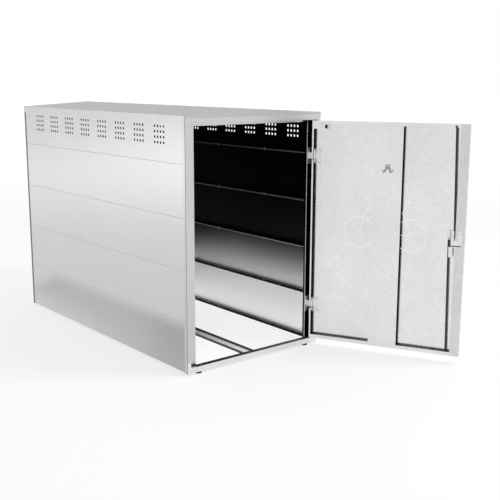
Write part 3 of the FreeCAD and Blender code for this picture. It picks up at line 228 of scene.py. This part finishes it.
# Noise: its stretch along the axes, its scale per metre, its detail and its roughness.
EVEN = (1, 1, 1)
ROLLED = (1.0, 0.02, 1.0)
SHEET_CLOUDS = (EVEN, 3.2, 4.0, 0.6)
SHEET_STREAKS = (ROLLED, 70.0, 3.0)
SHEET_SPECKS = (EVEN, 260.0, 2.0)
SHEET_WAVES = (EVEN, 3.0, 1.0)
SHEET_CRYSTALS = 95.0
PLATING_PATCHES = (EVEN, 45.0, 4.0, 0.6)
PLATING_GRAIN = (EVEN, 400.0, 2.0)

# Share of the clouds, crystals, streaks and specks in a sheet's tone, and how far patina spreads it.
SHEET_SHADE = (0.45, 0.12, 0.28, 0.15)
SHADE_MIDDLE = 0.5
PATINA_SPAN = 4
STEEL_BLUE = 0.997

# Share of the clouds, crystals and streaks in a sheet's roughness, and their middle value.
SHEET_GLOSS = (0.06, 0.02, 0.06)
SHEET_GLOSS_HALF = 0.07

# Share of the waves, streaks and crystals in a sheet's relief, and the relief's strength and depth.
SHEET_RELIEF = (0.9, 0.08, 0.02)
SHEET_BUMP = (0.06, 0.004)


def sheet_steel(name, tone, roughness, patina, shading):
    """Bright coated sheet: cloudy tone, zinc crystals, fine rolling grain lengthwise, faint waves."""
    finish = Finish(name, Metallic=1.0, Specular_IOR_Level=0.0)
    clouds = finish.noise(*SHEET_CLOUDS)
    crystals = finish.spangle(SHEET_CRYSTALS)
    streaks = finish.noise(*SHEET_STREAKS)
    specks = finish.noise(*SHEET_SPECKS)
    shade = weighted((clouds, crystals, streaks, specks), SHEET_SHADE)
    light = 1 + (shade - SHADE_MIDDLE) * (PATINA_SPAN * patina)
    level = light * shading(finish, tone)
    finish.colour(finish.combined(level, level, level * STEEL_BLUE))
    gloss = weighted((clouds, crystals, streaks), SHEET_GLOSS)
    finish.roughness(gloss + (roughness - SHEET_GLOSS_HALF) + finish.dullness)
    waves = finish.noise(*SHEET_WAVES)
    finish.bump(weighted((waves, streaks, crystals), SHEET_RELIEF), *SHEET_BUMP)
    return finish


# Plating: tones of its dull and bright patches, spread of its roughness, relief, and a painted shadow's tone.
PLATING_DULL = 0.85
PLATING_BRIGHT = 1.1
PLATING_SPREAD = 0.16
PLATING_BUMP = (0.05, 0.0005)
FOLD_SHADOW = 0.03


def plated_steel(name, tone, roughness, warmth, shadow=None):
    """Zinc plating on small parts: fine mottled tone with duller patches."""
    finish = Finish(name, Metallic=1.0)
    patches = finish.noise(*PLATING_PATCHES)
    dull = grey(tone * PLATING_DULL, warmth)
    plating = finish.mixed(patches, dull, grey(tone * PLATING_BRIGHT, warmth))
    # A shadow, where given, is painted on the plating.
    if shadow:
        plating = finish.mixed(shadow(finish), plating, grey(FOLD_SHADOW))
    finish.colour(plating)
    finish.roughness(patches * PLATING_SPREAD + (roughness - PLATING_SPREAD / 2))
    finish.bump(finish.noise(*PLATING_GRAIN), *PLATING_BUMP)
    return finish


# Black coating: tones of its hollows and peaks, detail, spread of its roughness, relief, and the light tone
# painted on the rods' backs.
COAT_HOLLOW = 0.8
COAT_PEAK = 1.3
COAT_DETAIL = 2.0
COAT_SPREAD = 0.12
COAT_BUMP = (0.15, 0.0004)
ROD_BACK_PAINTED_LIGHT = 0.6


def black_coat(name, tone, roughness, texture_scale, painted_light=None):
    """Black coating with a fine orange-peel texture, with a light tone painted where a mask is given."""
    finish = Finish(name)
    peel = finish.noise(EVEN, texture_scale, COAT_DETAIL)
    coat = finish.mixed(peel, grey(tone * COAT_HOLLOW), grey(tone * COAT_PEAK))
    if painted_light:
        coat = finish.mixed(painted_light(finish), coat, grey(ROD_BACK_PAINTED_LIGHT))
    finish.colour(coat)
    finish.roughness(peel * COAT_SPREAD + (roughness - COAT_SPREAD / 2))
    finish.bump(peel, *COAT_BUMP)
    return finish


# Planes of the locker, in metres.
WALL_FACE = abs(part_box("left_panel_3")[0].x)
REAR_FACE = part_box("rear_panel_3")[1].y
FLANGE_EDGE = abs(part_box("right_panel_3")[0].x)
FRONT_FACE = abs(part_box("front_post_left")[0].y)
HEADER_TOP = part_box("front_header")[1].z
SECOND_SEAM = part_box("right_panel_3")[0].z
FIRST_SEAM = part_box("right_panel_2")[0].z

# Painted on the cabin's inner faces: black shade above the second seam, below it light as from the floor, less to
# the back.
CABIN_PAINTED_SHADE = 0.018
CABIN_PAINTED_LIGHT = 1.06
CABIN_BACK = (-0.25, 0.65)
CABIN_BACK_DROP = 0.10
CABIN_FADE_TOP = 0.20
CABIN_FADE_FOOT = 0.07


def painted_cabin_shade(finish):
    """Painted shade and light of the cabin's inner faces, by height, darker towards the back."""
    height = finish.coordinate("Z")
    raised = height + finish.coordinate("Y").between(*CABIN_BACK) * CABIN_BACK_DROP
    lit = raised.between(SECOND_SEAM + CABIN_FADE_TOP, FIRST_SEAM - CABIN_FADE_FOOT)
    lit = lit * lit * height.below(SECOND_SEAM, SEAM_BLUR)
    return lit * (CABIN_PAINTED_LIGHT - CABIN_PAINTED_SHADE) + CABIN_PAINTED_SHADE


# Painted shadow along the walls' foot, the ground's mirrored shadow: how dark, from where to where along the depth
# and height.
FOOT_SHADOW = 0.20
FOOT_FRONT = (-1.0, -0.3)
FOOT_FRONT_SHADOW = 0.13
FOOT_REAR = (0.2, 0.9)
FOOT_REAR_SHADOW = 0.05
FOOT_RISE = (0.0, 0.24)
FOOT_CLEARING = (-1.0, 0.6)
FOOT_CLEAR_LEAST = 0.2
FOOT_CLEAR_MORE = 0.8
FOOT_TOP = (0.25, 0.35)
FOOT_SLOPE = (0.55, 1.0)
FOOT_SLOPE_DROP = 0.13


def foot_painted_shadow(height, depth):
    """The shadow painted along the walls' foot, darkest at its upper end and towards the front."""
    front = (1 - depth.between(*FOOT_FRONT)) * FOOT_FRONT_SHADOW
    amount = FOOT_SHADOW + front + depth.between(*FOOT_REAR) * FOOT_REAR_SHADOW
    clearing = depth.between(*FOOT_CLEARING) * FOOT_CLEAR_MORE + FOOT_CLEAR_LEAST
    fading = 1 - (1 - height.between(*FOOT_RISE)) * clearing
    raised = height + depth.between(*FOOT_SLOPE) * FOOT_SLOPE_DROP
    return amount * fading * (1 - raised.between(*FOOT_TOP))


# Depths under a wall's outer face, or for the cut from the flange's edge, and heights above the floor.
HALF_SHEET = 0.0008
GROOVE_MOUTH = 0.0018
GROOVE_BOTTOM = 0.005
GROOVE_HEIGHTS = (0.6, 1.3)
FLANGE_ROOT = 0.006
REAR_WALL = 0.01
VENTS_FROM = 1.3
CUT_DEPTH = 0.0004
CUT_FROM = 0.5
CUT_DIM_FROM = 0.8

# Tones of the walls' flanges, cut edges and grooves, mostly painted shade or light, and how much duller some of
# them are.
# The flanges are painted near black as shade.
FLANGE_SHADOW = 0.012
# Cut edges: light raw steel, partly painted light, brighter low in the cabin and dimmer higher up, where it is
# painted shade.
HIGH_RAW_EDGE_AND_PAINTED_LIGHT = 0.30
RAW_EDGE_AND_PAINTED_LIGHT = 0.62
# Grooves: painted light low in the cabin, painted shade higher up.
GROOVE_PAINTED_LIGHT = 0.95
GROOVE_PAINTED_SHADE = 0.1
EDGE_MATT = 0.9
EDGE_DULLNESS = 0.3
INNER_DULLNESS = 0.14


def wall_shading(finish, tone):
    """Walls: bright outside with a painted shadow at the foot, painted shade and light inside, flanges and vent
    rims painted black as shade, light cut edges partly painted light.
    """
    across = finish.coordinate("X").size()
    depth = finish.coordinate("Y")
    height = finish.coordinate("Z")
    outer = across.beyond(WALL_FACE - HALF_SHEET, SHEET_BLUR)
    outer = outer.at_least(depth.beyond(REAR_FACE - HALF_SHEET, SHEET_BLUR))
    groove = across.beyond(WALL_FACE - GROOVE_BOTTOM, SHEET_BLUR)
    groove = groove * across.below(WALL_FACE - GROOVE_MOUTH, SHEET_BLUR)
    flange = across.below(WALL_FACE - FLANGE_ROOT, SHEET_BLUR)
    flange = flange * depth.below(REAR_FACE - FLANGE_ROOT, SHEET_BLUR)
    cut = across.below(FLANGE_EDGE + CUT_DEPTH, SHEET_BLUR) * height.beyond(CUT_FROM, HEIGHT_BLUR)
    inner = blend(flange, painted_cabin_shade(finish), FLANGE_SHADOW)
    cut_tone = blend(height.beyond(CUT_DIM_FROM, HEIGHT_BLUR), RAW_EDGE_AND_PAINTED_LIGHT, HIGH_RAW_EDGE_AND_PAINTED_LIGHT)
    inner = blend(cut, inner, cut_tone)
    inner = blend(groove, inner, blend(height.between(*GROOVE_HEIGHTS), GROOVE_PAINTED_LIGHT, GROOVE_PAINTED_SHADE))
    finish.metallic(1 - cut * EDGE_MATT)
    finish.dullness = (1 - outer) * INNER_DULLNESS + cut * EDGE_DULLNESS
    # The vents' rims are painted dark as shade.
    rim = finish.looks("Y").size().turned() * height.beyond(VENTS_FROM, PLACE_BLUR)
    rim = rim * depth.below(REAR_FACE - REAR_WALL, FOLD_BLUR)
    return blend(rim, blend(outer, inner, (1 - foot_painted_shadow(height, depth)) * tone), CABIN_PAINTED_SHADE)


# Frame: planes and heights in metres, and tones, which are painted shade or painted light.
FRAME_SKIN = 0.0012
STOP_PLANE = 0.992
STOP_SIDE = 0.4
STOP_EDGE = 0.447
STOP_EDGE_HALF = 0.001
STOP_EDGE_FROM = 0.9865
REAR_CORNER = 0.9
REAR_CORNER_TOP = 1.468
CREASE_WIDTH = 0.0035
SILL_TOP = 0.08
REAR_CORNER_PAINTED_SHADE = 0.14
CREASE_PAINTED_SHADE = 0.25
REBATE_PAINTED_SHADE = 0.02
SILL_PAINTED_LIGHT = 0.35


def frame_shading(finish, tone):
    """Frame: bright outside, with painted shade in the hinge side's rebate and the cabin, on its rear corners and
    in a crease at the front's left edge, painted light on the sill, and a light cut edge on the door stop, raw
    steel partly painted light."""
    side = finish.coordinate("X")
    across = side.size()
    depth = finish.coordinate("Y")
    height = finish.coordinate("Z")
    front = (-depth).beyond(FRONT_FACE - FRAME_SKIN, SHEET_BLUR)
    rear = depth.beyond(FRONT_FACE - FRAME_SKIN, SHEET_BLUR)
    flank = across.beyond(WALL_FACE - FRAME_SKIN, SHEET_BLUR)
    top = height.beyond(HEADER_TOP - FRAME_SKIN, SHEET_BLUR)
    stop = (-depth).beyond(STOP_PLANE - FRAME_SKIN, SHEET_BLUR) * side.below(STOP_SIDE, PLACE_BLUR)
    outer = front.at_least(flank).at_least(top).at_least(rear).at_least(stop)
    corner = flank * depth.beyond(REAR_CORNER, PLACE_BLUR) * height.below(REAR_CORNER_TOP, TOP_BLUR)
    crease = front * (-side).beyond(WALL_FACE - CREASE_WIDTH, STRIP_BLUR)
    edge = side.beyond(STOP_EDGE - STOP_EDGE_HALF, SHEET_BLUR)
    edge = edge * side.below(STOP_EDGE + STOP_EDGE_HALF, SHEET_BLUR)
    edge = edge * (-depth).beyond(STOP_EDGE_FROM, LINE_BLUR)
    finish.metallic(1 - edge * EDGE_MATT)
    # Painted shade on the rear corners and in the crease, painted light on the sill.
    level = blend(corner, tone, REAR_CORNER_PAINTED_SHADE)
    level = blend(crease, level, CREASE_PAINTED_SHADE)
    level = level * (1 + front * height.below(SILL_TOP, PLACE_BLUR) * SILL_PAINTED_LIGHT)
    return blend(edge, blend(outer, REBATE_PAINTED_SHADE, level), RAW_EDGE_AND_PAINTED_LIGHT)


GABLE_PAINTED_LIGHT = 0.50


def roof_shading(finish, tone):
    """Roof: its underside carries the cabin's painted shade, its gables are painted lighter than its top, nearly
    as bright as the frame.
    """
    under = (-finish.looks("Z")).turned()
    gable = finish.looks("Y").size().turned()
    return blend(under, blend(gable, tone, GABLE_PAINTED_LIGHT), CABIN_PAINTED_SHADE)


RAIL_SHEEN = 0.1
RAIL_FLANK = 0.6
RAIL_FLANK_PAINTED_SHADE = 0.12


def rail_shading(finish, tone):
    """Wheel rail: dull zinc, with painted shade on its upright flanks."""
    flank = finish.looks("X").size().beyond(RAIL_FLANK, TURN_BLUR)
    finish.metallic(RAIL_SHEEN)
    return blend(flank, tone, tone * RAIL_FLANK_PAINTED_SHADE)


# The door stands open: its own directions, from the hinge to the free edge and into its tray.
# Shut, at the lowest angle of its joint, it points from the hinge to the left, at 180 degrees.
DOOR_SWING = next(joint for joint in frame["joints"] if joint["name"] == "door_swing")
DOOR_ANGLE = math.radians(180 - DOOR_SWING["range_deg"][0])
DOOR_ALONG = (math.cos(DOOR_ANGLE), math.sin(DOOR_ANGLE), 0.0)
DOOR_INWARD = (-math.sin(DOOR_ANGLE - math.pi), math.cos(DOOR_ANGLE - math.pi), 0.0)
HINGE_AXIS = Vector((*DOOR_SWING["pos_m"][:2], 0.0))


def door_reach(finish):
    """Distance from the hinge along the open door."""
    return finish.along(finish.place, DOOR_ALONG) - HINGE_AXIS.dot(Vector(DOOR_ALONG))


def door_depth(finish):
    """Distance from the hinge axis into the open door's tray."""
    return finish.along(finish.place, DOOR_INWARD) - HINGE_AXIS.dot(Vector(DOOR_INWARD))


def door_inside(finish):
    """How far the surface looks into the cabin when the door is shut."""
    return finish.along(finish.facing, DOOR_INWARD)


ROD_BACK_DEPTH = 0.004


def rod_backs(finish):
    """The backs of the locking rods, which face the door's skin; they are painted light, so that the skin mirrors
    them light.
    """
    return door_depth(finish).beyond(ROD_BACK_DEPTH, STRIP_BLUR) * (-door_inside(finish)).turned()


# The painted shadow along the guard's foot: its lower and upper edge, and where it ends along the door.
GUARD_FOLD_FOOT = 0.7330
GUARD_FOLD_TOP = 0.7395
GUARD_FOLD_END = 0.946


def guard_shadow(finish):
    """A shadow painted dark along the foot of the lock guard."""
    height = finish.coordinate("Z")
    fold = height.beyond(GUARD_FOLD_FOOT, LINE_BLUR) * height.below(GUARD_FOLD_TOP, LINE_BLUR)
    return fold * door_reach(finish).below(GUARD_FOLD_END, LINE_BLUR)


# Door: shares of the surface's normal, places in metres from the hinge and the floor, and tones of painted shade.
FOLD_TURN_BLUR = 0.2
FOLD_UNTIL = 0.85
FOLD_PAINTED_SHADE = 0.006
FOLD_DULLNESS = 0.5
BEND_TURNED = 0.35
BEND_FROM = 0.1
BEND_PAINTED_SHADE = 0.35
LOCK_LIP = 0.909
LOCK_LIP_PAINTED_SHADE = 0.83
HOLLOW_DEPTH = 0.005
HOLLOW_UNTIL = 0.083
HOLLOW_FROM = 1.4095


def door_shading(finish, tone):
    """Door: painted shade darkens its folds, the sides of its bends, the hollow behind the corner plate and the
    lock's lip.
    """
    reach = door_reach(finish)
    free_side = finish.along(finish.facing, DOOR_ALONG)
    inside = door_inside(finish).turned()
    fold = free_side.beyond(TURNED, FOLD_TURN_BLUR) * reach.below(FOLD_UNTIL, PLACE_BLUR)
    bend = (-free_side).beyond(BEND_TURNED, TURN_BLUR) * reach.beyond(BEND_FROM, PLACE_BLUR)
    lip = reach.beyond(LOCK_LIP, STRIP_BLUR) * inside
    hollow = inside * door_depth(finish).below(HOLLOW_DEPTH, FOLD_BLUR)
    hollow = hollow * reach.below(HOLLOW_UNTIL, STRIP_BLUR)
    hollow = hollow * finish.coordinate("Z").beyond(HOLLOW_FROM, STRIP_BLUR)
    dark = fold.at_least(hollow)
    finish.metallic(1 - dark)
    finish.dullness = dark * FOLD_DULLNESS
    level = blend(lip, tone, tone * LOCK_LIP_PAINTED_SHADE)
    return blend(dark, blend(bend, level, tone * BEND_PAINTED_SHADE), FOLD_PAINTED_SHADE)


# Sheets, by slot: tone, roughness, patina and shading, which paints shade and light.
SHEETS = {
    "frame_steel": (0.575, 0.24, 0.08, frame_shading),
    "wall_steel": (0.615, 0.24, 0.035, wall_shading),
    "roof_steel": (0.285, 0.34, 0.06, roof_shading),
    "door_steel": (0.76, 0.20, 0.13, door_shading),
    "rail_steel": (0.95, 0.30, 0.02, rail_shading),
}

# Plated parts, by slot: tone, roughness, warmth and, for the lock, a painted shadow.
PLATED = {
    "hinge_steel": (0.77, 0.28, 0.0),
    "lock_steel": (0.76, 0.25, 0.01, guard_shadow),
    "hook_steel": (0.40, 0.26, 0.01),
    "zinc": (0.56, 0.34, 0.0),
    "lock_chrome": (0.76, 0.12, 0.0),
}

# Black parts, by slot: tone, roughness, texture scale and, for the rods, where a light tone is painted.
BLACK = {
    "black_metal": (0.008, 0.45, 700.0, rod_backs),
    "black_plastic": (0.015, 0.55, 900.0),
}
FINISHES = {slot: sheet_steel(slot, *values) for slot, values in SHEETS.items()}
FINISHES.update({slot: plated_steel(slot, *values) for slot, values in PLATED.items()})
FINISHES.update({slot: black_coat(slot, *values) for slot, values in BLACK.items()})

# Rounding of edges: widths in metres, steps, and the turn in degrees from which a corner is rounded.
SHEET_BEND = 0.0006
SMALL_EDGE = 0.0004
EDGE_STEPS = 2
EDGE_ANGLE = 40


def soften(node_object, width):
    """Round the edges of a piece a little."""
    bevel = node_object.modifiers.new("edge", "BEVEL")
    bevel.width = width
    bevel.segments = EDGE_STEPS
    bevel.limit_method = "ANGLE"
    bevel.angle_limit = math.radians(EDGE_ANGLE)
    bevel.harden_normals = False


def dress_nodes():
    """Give each node its slot's finish and rounded edges."""
    slots = {entry["node"]: entry["material_slot"] for entry in frame["record"]["subparts"]}
    for name, node_object in frame["nodes"].items():
        slot = slots[name]
        node_object.data.materials.clear()
        node_object.data.materials.append(FINISHES[slot].material)
        soften(node_object, SHEET_BEND if slot in SHEETS else SMALL_EDGE)


# Studio floor: its size in metres, its tone, and how much it glows in each of its regions.
FLOOR_HALF = 80.0
FLOOR_TONE = 0.16
FLOOR_MOTTLE = 0.99
FLOOR_CLOUDS = (EVEN, 0.5, 1.0)
FLOOR_ROUGHNESS = 0.9
FLOOR_GLOW = 0.72
FAR_GLOW = 1.6
CABIN_GLOW = 0.10
HORIZON_GLOW = 0.12

# Directions to the left and back and to the right and back, and where the regions begin and end,
# in metres from the locker's middle.
GLOW_TOWARDS = (-0.85, 0.527, 0.0)
GLOW_ACROSS = (0.527, 0.85, 0.0)
FAR_DEPTH = (3.0, 16.0)
FAR_SIDE_RISE = (-4.0, 0.0)
FAR_SIDE_FALL = (0.0, 11.0)
CABIN_HALF_WIDTH = 0.50
CABIN_HALF_LENGTH = 1.01
HORIZON_DEPTH = (4.0, 14.0)
HORIZON_SLOPE = 0.4
HORIZON_FADE = (0.0, 2.0)


def floor_glow(finish):
    """Light of the floor: even, with more in the cabin and far off behind to the left, which the left
    wall mirrors, and a little more far off elsewhere, which hides the horizon from the camera."""
    towards = finish.along(finish.place, GLOW_TOWARDS)
    aside = finish.along(finish.place, GLOW_ACROSS)
    far = towards.between(*FAR_DEPTH) * aside.between(*FAR_SIDE_RISE) * (1 - aside.between(*FAR_SIDE_FALL))
    cabin = finish.coordinate("X").size().below(CABIN_HALF_WIDTH, FLOOR_BLUR)
    cabin = cabin * finish.coordinate("Y").size().below(CABIN_HALF_LENGTH, FLOOR_BLUR)
    distance = finish.length(finish.place)
    mirrored = (towards - distance * HORIZON_SLOPE).between(*HORIZON_FADE)
    horizon = distance.between(*HORIZON_DEPTH) * (1 - mirrored)
    return far * FAR_GLOW + cabin * CABIN_GLOW + horizon * HORIZON_GLOW + FLOOR_GLOW


def studio_floor():
    """A pale floor that glows softly, and so lights the walls and the cabin from below."""
    finish = Finish("studio_floor", Emission_Strength=1.0)
    clouds = finish.noise(*FLOOR_CLOUDS)
    finish.colour(finish.mixed(clouds, grey(FLOOR_TONE * FLOOR_MOTTLE), grey(FLOOR_TONE)))
    glow = floor_glow(finish)
    finish.glow(finish.combined(glow, glow, glow))
    finish.roughness(FLOOR_ROUGHNESS)
    corners = [(-FLOOR_HALF, -FLOOR_HALF, 0), (FLOOR_HALF, -FLOOR_HALF, 0),
               (FLOOR_HALF, FLOOR_HALF, 0), (-FLOOR_HALF, FLOOR_HALF, 0)]
    mesh = bpy.data.meshes.new("studio_floor")
    mesh.from_pydata(corners, [], [(0, 1, 2, 3)])
    mesh.materials.append(finish.material)
    floor = bpy.data.objects.new("studio_floor", mesh)
    bpy.context.scene.collection.objects.link(floor)


# Key light: places in metres, width in metres, power in watts.
KEY_PLACE = (2.5, -3.5, 6.4)
KEY_TARGET = (0.0, -0.3, 0.0)
KEY_WIDTH = 1.6
KEY_POWER = 330


def key_light():
    """A square soft light, high in front of the locker and to its right."""
    light = bpy.data.lights.new("key", "AREA")
    light.shape = "SQUARE"
    light.size = KEY_WIDTH
    light.energy = KEY_POWER
    lamp = bpy.data.objects.new("key", light)
    lamp.location = KEY_PLACE
    lamp.rotation_euler = (Vector(KEY_TARGET) - Vector(KEY_PLACE)).to_track_quat("-Z", "Y").to_euler()
    bpy.context.scene.collection.objects.link(lamp)


SKY_COLOUR = (1.0, 1.0, 1.0)
SKY_STRENGTH = 1.0


def studio_sky():
    """An even white sky."""
    world = bpy.data.worlds.new("studio_sky")
    world.use_nodes = True
    sheet = NodeSheet(world.node_tree)
    background = sheet.add("ShaderNodeBackground", {}, {"Color": SKY_COLOUR, "Strength": SKY_STRENGTH})
    sheet.add("ShaderNodeOutputWorld", {}, {"Surface": background.outputs["Background"]})
    bpy.context.scene.world = world


# Camera: the photograph's, solved from the locker's straight edges. Angles are in degrees.
CAMERA_PLACE = (-3.1809, -4.8489, 1.7077)
CAMERA_HEADING = 50.65
CAMERA_DIP = 11.55
CAMERA_ROLL = 0.2
CAMERA_LENS = 60.02
CAMERA_SENSOR = 36.0
CAMERA_SIGHT = 300.0


def photograph_camera():
    """The camera, turned by its heading, its dip below level and its roll."""
    heading = math.radians(CAMERA_HEADING)
    dip = math.radians(CAMERA_DIP)
    roll = math.radians(CAMERA_ROLL)
    forward = Vector((math.cos(heading) * math.cos(dip), math.sin(heading) * math.cos(dip), -math.sin(dip)))
    level = Vector((math.sin(heading), -math.cos(heading), 0))
    upright = level.cross(forward)
    right = level * math.cos(roll) + upright * math.sin(roll)
    up = upright * math.cos(roll) - level * math.sin(roll)
    turn = Matrix((right, up, -forward)).transposed()
    lens = bpy.data.cameras.new("camera")
    lens.lens = CAMERA_LENS
    lens.sensor_width = CAMERA_SENSOR
    lens.clip_end = CAMERA_SIGHT
    camera = bpy.data.objects.new("camera", lens)
    camera.matrix_world = Matrix.Translation(CAMERA_PLACE) @ turn.to_4x4()
    bpy.context.scene.collection.objects.link(camera)
    bpy.context.scene.camera = camera


dress_nodes()
studio_floor()
studio_sky()
key_light()
photograph_camera()
bpy.context.scene.view_settings.view_transform = "Standard"
